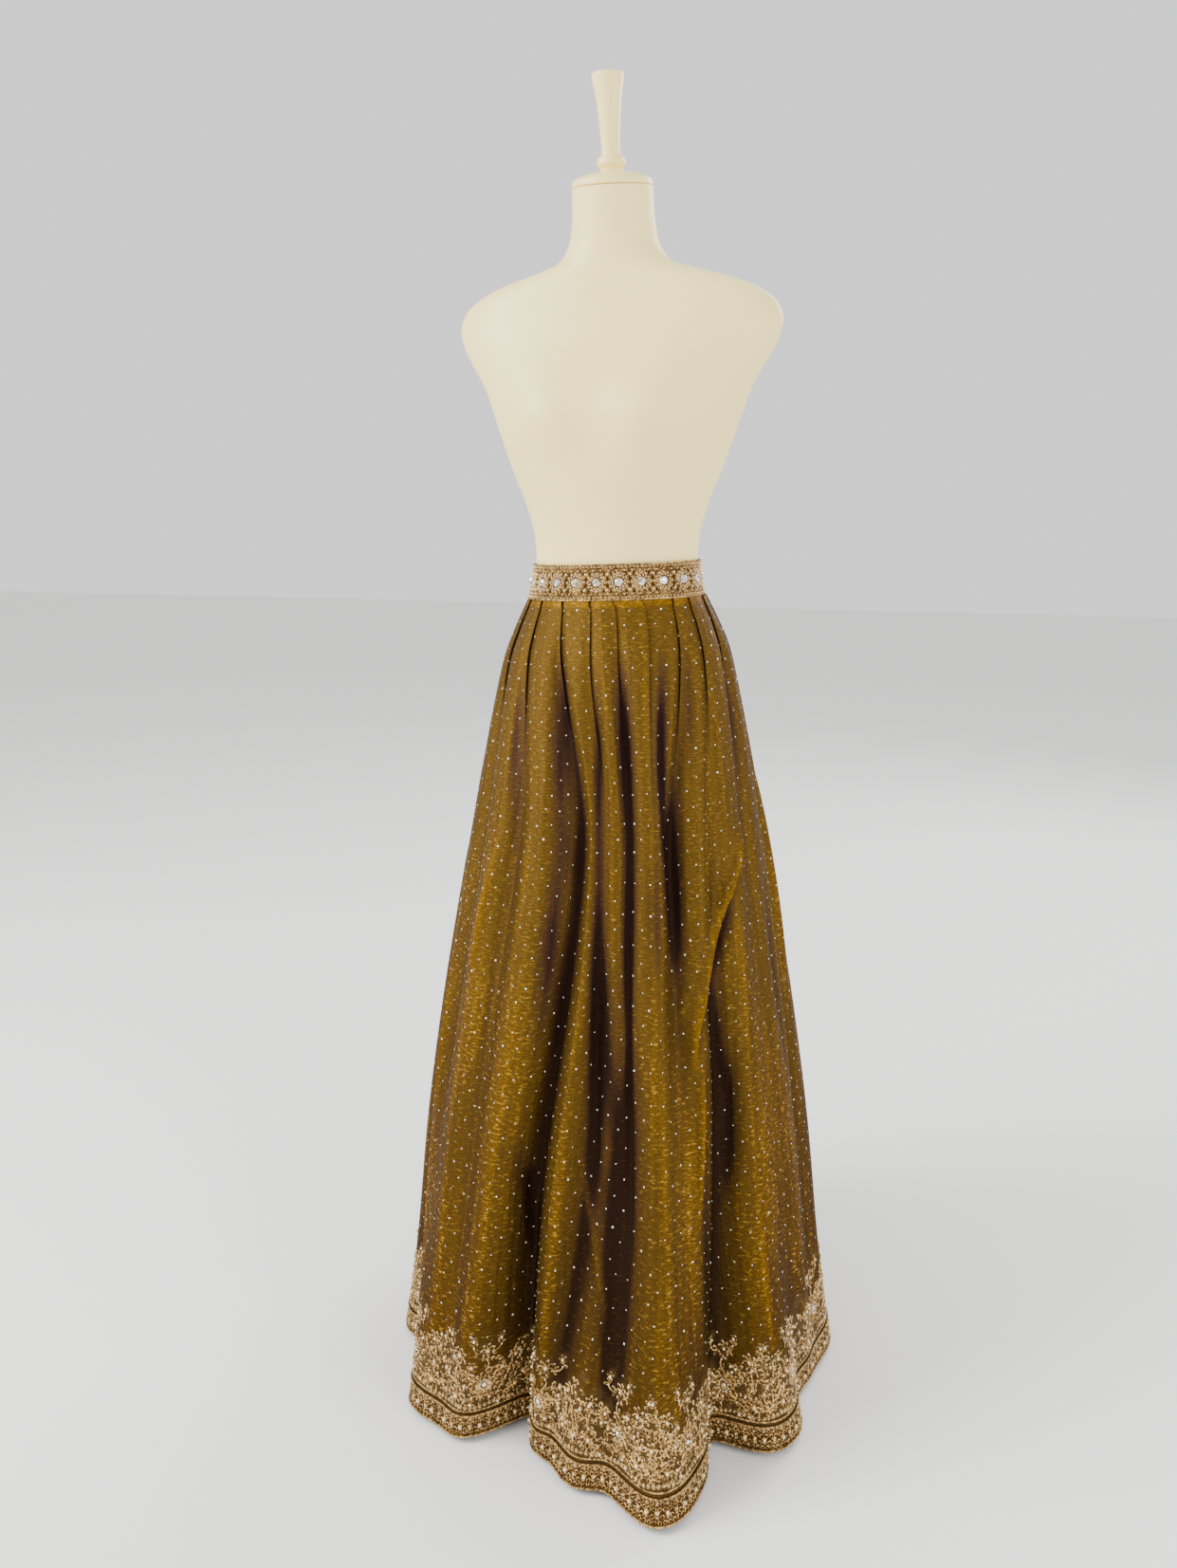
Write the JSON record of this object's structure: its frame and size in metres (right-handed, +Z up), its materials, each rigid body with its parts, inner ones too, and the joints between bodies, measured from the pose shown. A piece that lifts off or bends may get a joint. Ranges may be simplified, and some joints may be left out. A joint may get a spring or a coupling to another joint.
{
  "type": "lehenga skirt on dress form",
  "caption": "Floor-length flared lehenga skirt with a knife-pleated waist, an embroidered band and an embroidered hem, worn by a limbless dress form on a pole and a round base.",
  "frame": {"origin": "The middle of the base's flat underside, under the pole, on the floor.", "axes": "+Z up along the pole, -Y the way the dress form faces, +X the wearer's left."},
  "size_m": [0.5713, 0.6222, 1.7065],
  "materials": {
    "cloth": "shot tissue silk, mustard gold on lit faces and purple-brown in the folds, with a metallic sheen and a fine crinkle",
    "embroidery": "rose-gold metal thread, pearls and cut stones on brown cloth",
    "form": "smooth ivory shell, satin",
    "stand": "ivory paint, satin"
  },
  "bodies": {
    "root": {"skirt_front_left": "cloth", "skirt_back_left": "cloth", "skirt_back_right": "cloth", "skirt_front_right": "cloth", "hem_border": "embroidery", "waistband": "embroidery", "band_lap": "embroidery", "form_body": "form", "neck_cap": "stand", "finial": "stand", "pole_socket": "stand", "stand_pole": "stand", "stand_base": "stand"}
  },
  "joints": []
}
